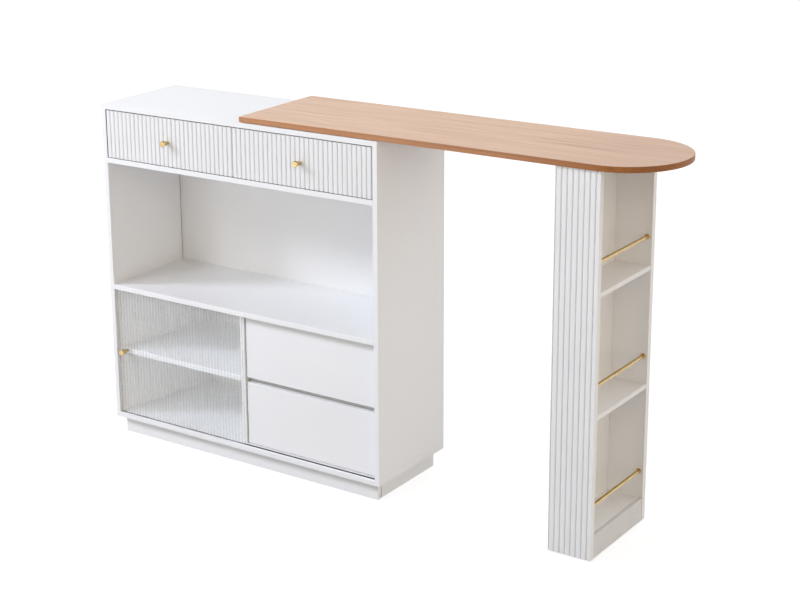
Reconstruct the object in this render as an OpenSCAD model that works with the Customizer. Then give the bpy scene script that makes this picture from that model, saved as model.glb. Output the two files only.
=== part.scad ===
// Rotating kitchen island: a cabinet, and a table on a swivel whose free end rolls on a fluted column.
// X runs along the table from the cabinet, Y from the front to the back, Z up from the floor.
// Pieces are drawn from the cabinet's left front corner and then set about the frame's origin.

/* [Cabinet] */
// Width of the cabinet
cab_w = 943; // [900:1:1040]
// Depth of the cabinet
cab_d = 326; // [316:1:350]
// Height of the cabinet's top face over the floor
cab_h = 1000; // [960:1:1040]
// Thickness of the boards
board_t = 15; // [13:0.5:18]
// Chamfer along the boards' edges
edge_c = 0.8; // [0.4:0.1:1.2]
// Thickness of the back panel
back_t = 5; // [3:0.5:6]
// Distance from the back panel to the cabinet's rear edge
back_inset = 7; // [5:0.5:10]
// Depth of the groove that holds the back panel
back_groove = 5; // [3:0.5:7]
// Play of a thin panel in its groove
groove_play = 0.2; // [0.1:0.05:0.4]
// Open width of the back panel's groove in front of the panel
back_groove_gap = 1.8; // [0.5:0.1:3]

/* [Plinth] */
// Height of the plinth
plinth_h = 50; // [40:1:70]
// Distance from the cabinet's sides to the plinth
plinth_side_inset = 20; // [10:1:40]
// Distance from the cabinet's front to the plinth
plinth_front_inset = 21; // [10:1:60]
// Distance from the plinth to the cabinet's rear edge
plinth_rear_inset = 22; // [10:1:60]
// Gap between the plinth's front board and its end boards
plinth_end_gap = 5; // [1:0.5:10]

/* [Front layout] */
// Clear height of the row that holds the top drawers
drawer_row_h = 141; // [130:1:160]
// Clear height of the open niche
niche_h = 365; // [330:1:380]
// Gap round the top drawers' fronts
front_gap = 2; // [1:0.1:3]
// Distance from the cabinet's front to the lower drawers' fronts
lower_inset = 22; // [21:0.5:28]
// Height of the finger gap between the lower drawers' fronts
finger_gap = 15; // [12:0.5:20]
// Gap over and under the pair of lower fronts
lower_gap = 2.5; // [1:0.1:4]
// Gap between the lower divider and the lower fronts
divider_gap = 5; // [2:0.5:6]
// Distance from the cabinet's front to the lower divider and the inner shelf
inner_inset = 20; // [17:0.5:24]
// Play of the inner shelf and the gap rail between the boards beside them
shelf_play = 0.5; // [0.2:0.1:1]
// Distance from the back of the lower fronts to the rail behind their finger gap
gap_rail_clear = 1; // [0.5:0.5:3]
// How far that rail reaches over the finger gap's upper edge
gap_rail_over = 6; // [3:0.5:7]
// How far that rail reaches under the finger gap's lower edge
gap_rail_under = 15; // [10:1:20]

/* [Flutes] */
// Number of flutes on each top drawer's front
front_flutes = 30; // [20:1:36]
// Distance from a column panel's left edge to the middle of its first groove
column_flute_start = 2.2; // [0:0.1:8]
// Depth of the grooves, and radius of the flutes' round shoulders
flute_rise = 3; // [2:0.1:4]
// Width of the flat groove between two flutes
flute_gap = 1.4; // [0.8:0.1:2.5]

/* [Drawers] */
// Thickness of the box boards
box_t = 12; // [10:0.5:14]
// Thickness of the box bottoms
bottom_t = 5; // [3:0.5:6]
// Depth of the grooves that hold the box bottoms
box_groove = 5; // [3:0.5:6]
// Height of a box bottom over the lower edge of its box
bottom_lift = 10; // [6:1:16]
// Room between a top box and the cabinet's top board
top_box_drop = 37; // [25:1:60]
// Height of the lower fronts' upper edges over their boxes
lower_box_drop = 40; // [25:1:70]
// Height of a top box over the deck under it
top_box_lift = 9; // [6:1:14]
// Height of a lower box over the lower edge of its front
lower_box_lift = 12; // [8:1:25]
// Space between the boxes and the back panel
box_rear_gap = 20; // [10:1:30]

/* [Drawer runners] */
// Length of a runner
runner_l = 250; // [220:5:250]
// Height of a cabinet runner
runner_h = 27; // [24:1:32]
// Space between a box and the board beside it
runner_space = 12.5; // [12:0.1:14]
// Gap between a cabinet runner and the box
runner_clear = 0.8; // [0.5:0.1:1.2]
// Thickness of the runners' sheet
sheet_t = 1.2; // [1:0.1:1.5]
// Height of the lips that hold the drawer's rail
runner_lip = 3.5; // [2.5:0.1:4.5]
// Running play between the two halves of a runner
runner_play = 0.4; // [0.3:0.05:0.6]
// Distance from the back of a front to its runners
runner_setback = 3; // [2:0.5:6]

/* [Sliding door] */
// Thickness of the glass over its reeds
glass_t = 5; // [4:0.5:6]
// Number of reeds on the glass
reeds = 41; // [30:1:50]
// Height of a reed
reed_rise = 1.1; // [0.6:0.1:1.5]
// Width of the valley between two reeds
reed_gap = 0.4; // [0.2:0.1:0.8]
// Distance from the cabinet's front to the middle of the glass
glass_y = 11; // [9:0.5:12]
// Gap between the closed door and the cabinet's left side
door_gap = 1; // [0.5:0.5:3]
// Wall of the door's tracks
track_wall = 1; // [0.8:0.1:1.5]
// Play of the glass in its tracks, each side
track_play = 0.4; // [0.3:0.05:0.6]
// Depth of the lower track
lower_track_h = 4; // [3:0.5:5]
// Depth of the upper track
upper_track_h = 9; // [8:0.5:10]
// Gap between the glass and the floor of the lower track
glass_rest = 0.3; // [0.2:0.05:0.5]
// Room over the glass to lift it out of the lower track
glass_lift = 4; // [3:0.5:5]

/* [Knobs] */
// Diameter of a knob's outer end
knob_d = 18; // [14:0.5:22]
// Diameter of a knob's foot
knob_foot_d = 10; // [8:0.5:13]
// Length of a knob
knob_l = 24; // [18:0.5:30]
// Chamfer round a knob's outer end
knob_c = 1; // [0.5:0.1:2]
// Diameter of a knob's screw
screw_d = 4; // [3:0.5:5]
// Diameter of the screw's head
screw_head_d = 8; // [7:0.5:10]
// Height of the screw's head
screw_head_h = 2.5; // [2:0.1:4]
// How deep the screw goes into the knob
screw_grip = 10; // [6:1:12]
// Room in the knob past the screw's end
screw_room = 1; // [0.5:0.5:2]
// Radial clearance of the screw in the knob
thread_play = 0.05; // [0.02:0.01:0.1]
// Radial clearance round the screw
screw_play = 0.25; // [0.1:0.05:0.5]
// Distance from the door's left edge to its knob
door_knob_inset = 28; // [20:1:50]
// Height of the door's knob over the middle of the opening
door_knob_rise = 5; // [0:1:40]

/* [Table] */
// Length of the table top
table_l = 1215; // [1100:1:1400]
// Width of the table top, and diameter of its round end
table_w = 331; // [326:1:345]
// Thickness of the table top
table_t = 15; // [12:0.5:25]
// Length of the table top that lies over the cabinet
table_overlap = 442; // [400:1:470]
// Gap between the cabinet's top and the table top
table_gap = 2; // [1.6:0.1:4]

/* [Swivel] */
// Diameter of the swivel's flange
flange_d = 120; // [90:1:150]
// Thickness of the flange, let into the table top
flange_t = 3; // [2:0.5:4]
// Gap round the flange in its recess
flange_play = 0.2; // [0.1:0.05:0.5]
// Diameter of the spindle
spindle_d = 16; // [12:1:20]
// Radial clearance of the spindle in its bush and its nut
spindle_play = 0.05; // [0.02:0.01:0.1]
// Wall of the bush
bush_wall = 4; // [3:0.5:6]
// Radial clearance of the bush in the top board and the plate
bush_play = 0.05; // [0.02:0.01:0.1]
// Diameter of the bush's thrust flange
bush_flange_d = 60; // [40:1:80]
// Gap between the bush or the glide pads and what turns on them
turn_gap = 0.3; // [0.2:0.05:0.4]
// Side of the square steel plate under the cabinet's top
plate_w = 110; // [80:1:130]
// Chamfer of the plate's corners
plate_c = 5; // [2:0.5:8]
// Thickness of that plate
plate_t = 3; // [2:0.5:4]
// Distance from the plate's screw holes to its edges
plate_hole_inset = 15; // [10:1:25]
// Diameter of the plate's and the flange's screw holes
plate_hole_d = 5; // [4:0.5:6]
// Width of the lock nut over its flats
nut_w = 24; // [22:1:30]
// Height of the lock nut
nut_h = 10; // [8:1:12]
// Diameter of the washer over the nut
washer_d = 34; // [30:1:40]
// Thickness of the washer
washer_t = 2.5; // [2:0.5:3]
// Length of spindle under the nut
spindle_tail = 3; // [1:0.5:5]
// Diameter of a glide pad
pad_d = 25; // [15:1:35]
// Distance from the swivel's axis to the glide pads
pad_r = 110; // [90:1:130]

/* [Column] */
// Width of the column along the table
col_w = 119; // [110:1:140]
// Depth of the column across the table, flutes included
col_d = 307; // [280:1:315]
// Distance from the table's round tip to the column
col_tip_inset = 148; // [130:1:200]
// Distance from the table's front edge to the column
col_front_inset = 7.5; // [5:0.5:12]
// Thickness of the column's fluted panels
panel_t = 17; // [15:0.5:20]
// Gap between the column's boards and the floor
col_floor_gap = 3; // [2:0.5:6]
// Distance from the panels' left edges to the column's back panel
col_back_recess = 4; // [0:0.5:8]
// Thickness of the column's shelves, floor board and kick board
shelf_t = 12; // [10:0.5:14]
// Height of the column's floor board over the floor
col_floor_z = 66; // [60:1:90]
// Distance from the column's opening to the shelves' front edges
shelf_inset = 1; // [0:0.5:4]
// Gap beside the kick board
kick_gap = 2.5; // [0.5:0.1:4]
// Height of an angle bracket's upright leg
bracket_h = 25; // [20:1:30]
// Width of an angle bracket
bracket_w = 30; // [20:1:36]
// Thickness of the brackets' steel
bracket_t = 2; // [1.5:0.5:3]
// Distance from a bracket to the panel's edge
bracket_inset = 22; // [20:1:25]

/* [Guard rails] */
// Diameter of a guard rail
rail_d = 10; // [8:0.5:14]
// Height of a rail's axis over the board under it
rail_h = 74; // [60:1:90]
// Distance from the column's opening to a rail's axis
rail_inset = 13; // [10:0.5:20]
// Wall of a rail's end socket
socket_wall = 2; // [1.5:0.1:3]
// Length of a rail's end socket
socket_l = 4; // [3:0.5:8]
// Floor of a rail's end socket
socket_floor = 1; // [0.8:0.1:1.5]
// Radial clearance of a rail in its socket
socket_play = 0.05; // [0.02:0.01:0.1]

/* [Casters] */
// Diameter of a wheel
wheel_d = 38; // [32:1:42]
// Width of a wheel
wheel_w = 16; // [12:1:20]
// Chamfer of a wheel's tread
tread_c = 1.5; // [1:0.1:3]
// Depth of the dish in a wheel's sides
dish = 3; // [2:0.5:4]
// Width of the rim round that dish
rim_w = 3; // [2:0.5:5]
// Diameter of an axle
axle_d = 6; // [5:0.5:8]
// Radial clearance of an axle
axle_play = 0.05; // [0.02:0.01:0.1]
// Wall of a wheel's hub
hub_wall = 2; // [1.5:0.5:3]
// Gap between a wheel and its fork, each side
wheel_gap = 0.5; // [0.3:0.1:1]
// Thickness of the forks' steel
fork_t = 2; // [1.5:0.5:3]
// Width of a fork's ears
ear_w = 20; // [16:1:24]
// Length of a fork's plate
fork_plate_l = 56; // [44:1:64]
// Width of a fork's plate
fork_plate_w = 44; // [34:1:50]
// Diameter of an axle's heads
axle_head_d = 9; // [8:0.5:12]
// Thickness of an axle's heads
axle_head_t = 1.5; // [1:0.5:2]
// Distance between the two casters
caster_span = 177; // [140:1:190]

/* [Shelf supports] */
// Diameter of a support's stud
stud_d = 5; // [4:0.5:6]
// Length of a stud
stud_l = 7; // [5:0.5:9]
// Room in the hole past the stud's end
stud_room = 1; // [0.5:0.5:2]
// Radial clearance of a stud in its hole
stud_play = 0.05; // [0.02:0.01:0.1]
// Side of a support's square tab
tab_w = 8; // [7:0.5:10]
// How far a tab stands out
tab_out = 6; // [5:0.5:8]
// Distance from the inner shelf's edges to the supports
support_inset = 45; // [30:1:80]

/* [Hidden] */
$fn = 64;
// How far a cut runs past the surface that it opens
over = 1;
// Facets of a flute's shoulders
shoulder_fn = 32;
// Directions of the flange's screw holes and of the glide pads
corners = [45 : 90 : 315];

// Colours
white = "whitesmoke";
oak = "burlywood";
brass = "goldenrod";
steel = "silver";
nylon = "ivory";
rubber = "dimgray";
track_brown = [0.32, 0.27, 0.27];

// Cabinet, from the floor up
bottom_top = plinth_h + board_t;
top_under = cab_h - board_t;
deck_z = top_under - drawer_row_h;
niche_top = deck_z - board_t;
niche_floor = niche_top - niche_h;
middle_under = niche_floor - board_t;
back_y = cab_d - back_inset - back_t;
inner_w = cab_w - 2 * board_t;
inner_h = top_under - bottom_top;
lower_h = middle_under - bottom_top;
mid_x = cab_w / 2;
divider_x = mid_x - board_t / 2;
right_inner = cab_w - board_t;
shelf_top = (bottom_top + middle_under + board_t) / 2;
shelf_under = shelf_top - board_t;
stud_hole = stud_l + stud_room;
plinth_l = cab_w - 2 * plinth_side_inset;
plinth_rear = cab_d - plinth_rear_inset;

// Bays of the drawers: left of the divider and right of it
left_bay = board_t;
right_bay = divider_x + board_t;
bay_w = divider_x - board_t;
box_w = bay_w - 2 * runner_space;
box_rear = back_y - box_rear_gap;

// Fronts of the drawers
front_w = (inner_w - 3 * front_gap) / 2;
flute_pitch = front_w / front_flutes;
front_h = drawer_row_h - 2 * front_gap;
front_z = deck_z + front_gap;
left_front_x = board_t + front_gap;
right_front_x = mid_x + front_gap / 2;
lower_front_x = right_bay + divider_gap;
lower_front_w = right_inner - front_gap - lower_front_x;
lower_front_h = (lower_h - 2 * lower_gap - finger_gap) / 2;
bottom_front_z = bottom_top + lower_gap;
gap_rail_z = bottom_front_z + lower_front_h - gap_rail_under;
gap_rail_h = gap_rail_under + finger_gap + gap_rail_over;
middle_front_z = bottom_front_z + lower_front_h + finger_gap;

// Boxes of the drawers: bay, back of the front, lower edge, height
top_box_h = drawer_row_h - top_box_lift - top_box_drop;
lower_box_h = lower_front_h - lower_box_lift - lower_box_drop;
left_box = [left_bay, board_t, deck_z + top_box_lift, top_box_h];
right_box = [right_bay, board_t, deck_z + top_box_lift, top_box_h];
middle_box = [right_bay, lower_inset + board_t, middle_front_z + lower_box_lift, lower_box_h];
bottom_box = [right_bay, lower_inset + board_t, bottom_front_z + lower_box_lift, lower_box_h];
boxes = [left_box, right_box, middle_box, bottom_box];

// Sliding door
door_x = board_t + door_gap;
door_w = divider_x + board_t - door_x;
door_front = glass_y - glass_t / 2;
door_z = bottom_top - lower_track_h + track_wall + glass_rest;
door_top = middle_under + upper_track_h - track_wall - glass_lift;
track_w = glass_t + 2 * track_play + 2 * track_wall;
door_knob_x = door_x + door_knob_inset;
door_knob_z = (bottom_top + middle_under) / 2 + door_knob_rise;

// Knobs of the top drawers
knob_z = front_z + front_h / 2;
knob_seat = screw_grip + screw_room;

// Table and swivel
table_z = cab_h + table_gap;
table_x = cab_w - table_overlap;
table_tip = table_x + table_l;
table_r = table_w / 2;
pivot_x = cab_w - cab_d / 2;
pivot_y = cab_d / 2;
bush_r = spindle_d / 2 + spindle_play + bush_wall;
bush_flange_t = table_gap - turn_gap;
plate_under = top_under - plate_t;
washer_z = plate_under - turn_gap - washer_t;
nut_z = washer_z - nut_h;
spindle_z = nut_z - spindle_tail;

// Column
col_x = table_tip - col_tip_inset - col_w;
col_open = col_x + col_w;
col_y = pivot_y - table_r + col_front_inset;
col_inner_y = col_y + panel_t;
col_inner_d = col_d - 2 * panel_t;
col_back_x = col_x + col_back_recess;
col_inner_x = col_back_x + board_t;
col_panel_h = table_z - col_floor_gap;
// Three compartments of one height, the highest under the table itself
bay_h = (table_z - col_floor_z - 2 * shelf_t) / 3;
bay_floors = [for (i = [0 : 2]) col_floor_z + i * (bay_h + shelf_t)];
rail_x = col_open - rail_inset;
bracket_xs = [col_x + bracket_inset, col_open - bracket_inset - bracket_w];

// Casters: each axle points at the swivel's axis, so the column rolls round it
caster_x = (col_inner_x + col_open - shelf_t) / 2;
caster_ys = [for (s = [-1, 1]) col_y + col_d / 2 + s * caster_span / 2];
fork_top = col_floor_z - shelf_t;
ear_x = wheel_w / 2 + wheel_gap;
axle_half = ear_x + fork_t;

// Origin: middle of the whole object's box, on the floor
rear_most = max(cab_d, pivot_y + table_r);
origin_x = table_tip / 2;
origin_y = (rear_most - knob_l) / 2;

// Sets a piece drawn from the cabinet's corner about the frame's origin
module place() {
    translate([-origin_x, -origin_y, 0]) children();
}

// Rectangle with chamfered corners
module eased(w, h, c = edge_c) {
    polygon([[c, 0], [w - c, 0], [w, c], [w, h - c], [w - c, h], [c, h], [0, h - c], [0, c]]);
}

// Board whose long edges run along X
module board_x(at, size) {
    translate(at) rotate([90, 0, 90]) linear_extrude(size.x) eased(size.y, size.z);
}

// Board whose long edges run along Y
module board_y(at, size) {
    translate(at + [0, size.y, 0]) rotate([90, 0, 0]) linear_extrude(size.y) eased(size.x, size.z);
}

// Board whose long edges run along Z
module board_z(at, size) {
    translate(at) linear_extrude(size.z) eased(size.x, size.y);
}

// Board with every edge chamfered
module eased_board(at, size) {
    intersection() {
        board_x(at, size);
        board_y(at, size);
        board_z(at, size);
    }
}

// Cross-section with flat-topped flutes along the side at y = 0, the middle of a groove at x = start
module fluted(w, t, start) {
    r = flute_rise;
    land = flute_pitch - flute_gap - 2 * r;
    translate([0, r]) square([w, t - r]);
    intersection() {
        square([w, t]);
        union() for (x = [start - flute_pitch : flute_pitch : w]) translate([x + flute_gap / 2 + r, 0]) {
            square([land, t]);
            for (end = [0, land]) translate([end, r]) circle(r, $fn = shoulder_fn);
        }
    }
}

// Cross-section with round ribs along the side at y = 0
module ribbed(w, t, ribs, rise, gap) {
    pitch = w / ribs;
    half = (pitch - gap) / 2;
    r = (half * half + rise * rise) / (2 * rise);
    translate([0, rise]) square([w, t - rise]);
    intersection() {
        square([w, rise + gap / 4]);
        union() for (i = [0 : ribs - 1]) translate([(i + 0.5) * pitch, r]) circle(r);
    }
}

// Groove for the back panel, cut into the boards round it
module back_slot() {
    w = inner_w + 2 * back_groove;
    h = inner_h + 2 * back_groove;
    translate([mid_x - w / 2, back_y - back_groove_gap, bottom_top - back_groove])
        cube([w, back_groove_gap + back_t + groove_play, h]);
}

module top_board() {
    color(white) place() difference() {
        eased_board([0, 0, top_under], [cab_w, cab_d, board_t]);
        back_slot();
        translate([pivot_x, pivot_y, top_under - over])
            cylinder(r = bush_r + bush_play, h = board_t + 2 * over);
    }
}

module bottom_board() {
    color(white) place() difference() {
        eased_board([0, 0, plinth_h], [cab_w, cab_d, board_t]);
        back_slot();
        translate([board_t, glass_y - track_w / 2, bottom_top - lower_track_h])
            cube([inner_w, track_w, lower_track_h + over]);
    }
}

// Row of holes for the inner shelf's supports, bored to the right from x
module stud_holes(x) {
    for (y = [inner_inset + support_inset, back_y - support_inset])
        translate([x, y, shelf_under - tab_w / 2])
            rotate([0, 90, 0]) cylinder(d = stud_d + 2 * stud_play, h = stud_hole + over);
}

module left_side() {
    color(white) place() difference() {
        eased_board([0, 0, bottom_top], [board_t, cab_d, inner_h]);
        back_slot();
        stud_holes(board_t - stud_hole);
    }
}

module right_side() {
    color(white) place() difference() {
        eased_board([right_inner, 0, bottom_top], [board_t, cab_d, inner_h]);
        back_slot();
    }
}

module drawer_deck() {
    color(white) place() board_x([board_t, 0, niche_top], [inner_w, back_y, board_t]);
}

module middle_board() {
    color(white) place() difference() {
        board_x([board_t, 0, middle_under], [inner_w, back_y, board_t]);
        translate([board_t - over, glass_y - track_w / 2, middle_under - over])
            cube([inner_w + 2 * over, track_w, upper_track_h + over]);
    }
}

// Between the top drawers, behind their fronts
module top_divider() {
    y = board_t + front_gap;
    color(white) place() board_z([divider_x, y, deck_z], [board_t, back_y - y, drawer_row_h]);
}

// Divider beside the sliding door's bay, and the rail behind the finger gap of the lower drawers
module lower_divider() {
    rail_y = lower_inset + board_t + gap_rail_clear;
    color(white) place() {
        difference() {
            board_z([divider_x, inner_inset, bottom_top], [board_t, back_y - inner_inset, lower_h]);
            stud_holes(divider_x - over);
        }
        board_x([right_bay + shelf_play, rail_y, gap_rail_z],
                [bay_w - 2 * shelf_play, board_t, gap_rail_h]);
    }
}

module inner_shelf() {
    w = bay_w - 2 * shelf_play;
    color(white) place()
        board_x([board_t + shelf_play, inner_inset, shelf_under], [w, back_y - inner_inset, board_t]);
}

// Square tabs under the inner shelf, on round studs
module shelf_supports() {
    color(steel) place()
        for (y = [inner_inset + support_inset, back_y - support_inset], end = [0, 1])
            translate([end ? divider_x : board_t, y, shelf_under - tab_w / 2]) mirror([end, 0, 0]) {
                translate([0, -tab_w / 2, -tab_w / 2]) cube([tab_out, tab_w, tab_w]);
                translate([-stud_l, 0, 0]) rotate([0, 90, 0]) cylinder(d = stud_d, h = stud_l + over);
            }
}

module back_panel() {
    w = inner_w + 2 * (back_groove - groove_play);
    h = inner_h + 2 * back_groove - groove_play;
    color(white) place()
        translate([mid_x - w / 2, back_y, bottom_top - back_groove]) cube([w, back_t, h]);
}

module plinth_front() {
    color(white) place()
        board_x([plinth_side_inset, plinth_front_inset, 0], [plinth_l, board_t, plinth_h]);
}

// Between the end boards
module plinth_back() {
    color(white) place()
        board_x([plinth_side_inset + board_t, plinth_rear - board_t, 0],
                [plinth_l - 2 * board_t, board_t, plinth_h]);
}

module plinth_ends() {
    y = plinth_front_inset + board_t + plinth_end_gap;
    color(white) place()
        for (x = [plinth_side_inset, cab_w - plinth_side_inset - board_t])
            board_y([x, y, 0], [board_t, plinth_rear - y, plinth_h]);
}

// Track of U section, open upwards, with its outer floor at z = 0
module track(h) {
    translate([board_t, glass_y - track_w / 2, 0]) difference() {
        cube([inner_w, track_w, h]);
        translate([-over, track_wall, track_wall])
            cube([inner_w + 2 * over, track_w - 2 * track_wall, h]);
    }
}

module lower_track() {
    color(track_brown) place() translate([0, 0, bottom_top - lower_track_h]) track(lower_track_h);
}

module upper_track() {
    color(track_brown) place()
        translate([0, 0, middle_under + upper_track_h]) mirror([0, 0, 1]) track(upper_track_h);
}

// Runner of the cabinet: a channel with lips, open towards +X, its web on x = 0
module channel_section() {
    d = runner_space - runner_clear;
    h = runner_h / 2;
    lip = h - sheet_t - runner_lip;
    polygon([
        [0, -h], [d, -h], [d, -lip], [d - sheet_t, -lip], [d - sheet_t, sheet_t - h],
        [sheet_t, sheet_t - h], [sheet_t, h - sheet_t], [d - sheet_t, h - sheet_t],
        [d - sheet_t, lip], [d, lip], [d, h], [0, h]
    ]);
}

// Rail of the drawer: a hat section whose brim runs behind the channel's lips
module hat_section() {
    neck = runner_h / 2 - sheet_t - runner_lip - runner_play;
    brim = runner_h / 2 - sheet_t - runner_play;
    out = runner_space - runner_clear - sheet_t - runner_play;
    back = out - sheet_t;
    face = runner_space - sheet_t;
    polygon([
        [runner_space, -neck], [runner_space, neck], [out, neck], [out, brim], [back, brim],
        [back, neck - sheet_t], [face, neck - sheet_t], [face, sheet_t - neck],
        [back, sheet_t - neck], [back, -brim], [out, -brim], [out, -neck]
    ]);
}

// The children's section along both sides of a box, from the wall of its bay inwards
module runner_pair(box) {
    for (end = [0, 1])
        translate([box[0] + end * bay_w, box[1] + runner_setback + runner_l, box[2] + box[3] / 2])
            mirror([end, 0, 0]) rotate([90, 0, 0]) linear_extrude(runner_l) children();
}

module cabinet_runners() {
    color(steel) place() for (box = boxes) runner_pair(box) channel_section();
}

module drawer_runners(box) {
    color(steel) place() runner_pair(box) hat_section();
}

// Room for a box bottom, in the sides, the back of the front and the box's rear
module bottom_slot(box) {
    w = box_w - 2 * box_t + 2 * box_groove;
    l = box_rear - box[1] + 2 * box_groove;
    translate([box[0] + runner_space + box_t - box_groove, box[1] - box_groove, box[2] + bottom_lift])
        cube([w, l, bottom_t + groove_play]);
}

module box_sides(box) {
    color(white) place() for (x = [box[0] + runner_space, box[0] + bay_w - runner_space - box_t])
        difference() {
            board_y([x, box[1], box[2]], [box_t, box_rear - box[1], box[3]]);
            bottom_slot(box);
        }
}

module box_back(box) {
    z = box[2] + bottom_lift + bottom_t;
    color(white) place()
        board_x([box[0] + runner_space + box_t, box_rear - box_t, z],
                [box_w - 2 * box_t, box_t, box[2] + box[3] - z]);
}

module box_bottom(box) {
    lap = box_groove - groove_play;
    color(white) place()
        translate([box[0] + runner_space + box_t - lap, box[1] - lap, box[2] + bottom_lift])
            cube([box_w - 2 * box_t + 2 * lap, box_rear - box[1] + lap, bottom_t]);
}

// Bore for a knob's screw, along Y through a front
module screw_hole(x, z) {
    translate([x, -over, z]) rotate([-90, 0, 0])
        cylinder(d = screw_d + 2 * screw_play, h = board_t + 2 * over);
}

module fluted_front(x, box) {
    color(white) place() difference() {
        translate([x, 0, front_z]) linear_extrude(front_h) fluted(front_w, board_t, 0);
        bottom_slot(box);
        screw_hole(x + front_w / 2, knob_z);
    }
}

module plain_front(z, box) {
    color(white) place() difference() {
        eased_board([lower_front_x, lower_inset, z], [lower_front_w, board_t, lower_front_h]);
        bottom_slot(box);
    }
}

// Conical knob on the face at y, and its screw from behind a board of thickness t
module knob(x, y, z, t) {
    bore = screw_d / 2 + thread_play;
    color(brass) place() translate([x, y, z]) rotate([90, 0, 0]) {
        rotate_extrude() polygon([
            [bore, 0], [knob_foot_d / 2, 0], [knob_d / 2, knob_l - knob_c],
            [knob_d / 2 - knob_c, knob_l], [0, knob_l], [0, knob_seat], [bore, knob_seat]
        ]);
        rotate_extrude() polygon([
            [0, -t - screw_head_h], [screw_head_d / 2, -t - screw_head_h], [screw_head_d / 2, -t],
            [screw_d / 2, -t], [screw_d / 2, screw_grip], [0, screw_grip]
        ]);
    }
}

module left_front() { fluted_front(left_front_x, left_box); }
module left_box_sides() { box_sides(left_box); }
module left_box_back() { box_back(left_box); }
module left_box_bottom() { box_bottom(left_box); }
module left_runners() { drawer_runners(left_box); }
module left_knob() { knob(left_front_x + front_w / 2, 0, knob_z, board_t); }

module right_front() { fluted_front(right_front_x, right_box); }
module right_box_sides() { box_sides(right_box); }
module right_box_back() { box_back(right_box); }
module right_box_bottom() { box_bottom(right_box); }
module right_runners() { drawer_runners(right_box); }
module right_knob() { knob(right_front_x + front_w / 2, 0, knob_z, board_t); }

module middle_front() { plain_front(middle_front_z, middle_box); }
module middle_box_sides() { box_sides(middle_box); }
module middle_box_back() { box_back(middle_box); }
module middle_box_bottom() { box_bottom(middle_box); }
module middle_runners() { drawer_runners(middle_box); }

module bottom_front() { plain_front(bottom_front_z, bottom_box); }
module bottom_box_sides() { box_sides(bottom_box); }
module bottom_box_back() { box_back(bottom_box); }
module bottom_box_bottom() { box_bottom(bottom_box); }
module bottom_runners() { drawer_runners(bottom_box); }

// Pane with upright reeds on its outer face
module door_glass() {
    color("lightgrey", 0.5) place() difference() {
        translate([door_x, door_front, door_z]) linear_extrude(door_top - door_z)
            ribbed(door_w, glass_t, reeds, reed_rise, reed_gap);
        screw_hole(door_knob_x, door_knob_z);
    }
}

module door_knob() { knob(door_knob_x, door_front, door_knob_z, glass_t); }

// Straight top with a half-round end towards +X
module table_top() {
    straight = table_l - table_r;
    rim = [[0, 0], [table_r - edge_c, 0], [table_r, edge_c], [table_r, table_t - edge_c],
           [table_r - edge_c, table_t], [0, table_t]];
    color(oak) place() difference() {
        union() {
            intersection() {
                board_x([table_x, pivot_y - table_r, table_z], [straight, table_w, table_t]);
                board_y([table_x, pivot_y - table_r, table_z], [table_l, table_w, table_t]);
            }
            translate([table_x + straight, pivot_y, table_z])
                rotate([0, 0, -90]) rotate_extrude(angle = 180) polygon(rim);
        }
        translate([pivot_x, pivot_y, table_z - over])
            cylinder(d = flange_d + 2 * flange_play, h = flange_t + over);
    }
}

// Round flange let into the table top, with the spindle welded into it
module swivel_flange() {
    hole_r = (bush_flange_d / 2 + flange_d / 2) / 2;
    color(steel) place() translate([pivot_x, pivot_y, 0]) difference() {
        union() {
            translate([0, 0, table_z]) cylinder(d = flange_d, h = flange_t);
            translate([0, 0, spindle_z]) cylinder(d = spindle_d, h = table_z + flange_t - spindle_z);
        }
        for (a = corners) rotate([0, 0, a]) translate([hole_r, 0, table_z - over])
            cylinder(d = plate_hole_d, h = flange_t + 2 * over);
    }
}

// Flanged bush in the cabinet's top board: the spindle turns in it and the table's flange on it
module swivel_bush() {
    bore = spindle_d / 2 + spindle_play;
    color(nylon) place() translate([pivot_x, pivot_y, 0]) rotate_extrude() polygon([
        [bore, plate_under], [bush_r, plate_under], [bush_r, cab_h], [bush_flange_d / 2, cab_h],
        [bush_flange_d / 2, cab_h + bush_flange_t], [bore, cab_h + bush_flange_t]
    ]);
}

module swivel_plate() {
    hole = plate_w / 2 - plate_hole_inset;
    color(steel) place() translate([pivot_x, pivot_y, plate_under]) difference() {
        translate([-plate_w / 2, -plate_w / 2, 0])
            linear_extrude(plate_t) eased(plate_w, plate_w, plate_c);
        translate([0, 0, -over]) cylinder(r = bush_r + bush_play, h = plate_t + 2 * over);
        for (x = [-hole, hole], y = [-hole, hole]) translate([x, y, -over])
            cylinder(d = plate_hole_d, h = plate_t + 2 * over);
    }
}

// Washer and hexagon lock nut under the plate
module swivel_nut() {
    color(steel) place() translate([pivot_x, pivot_y, nut_z]) difference() {
        union() {
            cylinder(d = nut_w / cos(30), h = nut_h, $fn = 6);
            translate([0, 0, nut_h]) cylinder(d = washer_d, h = washer_t);
        }
        translate([0, 0, -over])
            cylinder(r = spindle_d / 2 + spindle_play, h = nut_h + washer_t + 2 * over);
    }
}

// Low-friction pads under the table, which stay over the cabinet's top at every angle
module glide_pads() {
    t = table_gap - turn_gap;
    color(nylon) place() translate([pivot_x, pivot_y, table_z - t])
        for (a = corners) rotate([0, 0, a]) translate([pad_r, 0, 0]) cylinder(d = pad_d, h = t);
}

// Fluted panel of the column, with its flutes towards -Y
module fluted_panel() {
    linear_extrude(col_panel_h) fluted(col_w, panel_t, column_flute_start);
}

module near_panel() {
    color(white) place() translate([col_x, col_y, col_floor_gap]) fluted_panel();
}

module far_panel() {
    color(white) place()
        translate([col_x, col_y + col_d, col_floor_gap]) mirror([0, 1, 0]) fluted_panel();
}

module column_back() {
    color(white) place()
        board_z([col_back_x, col_inner_y, col_floor_gap], [board_t, col_inner_d, col_panel_h]);
}

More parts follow.
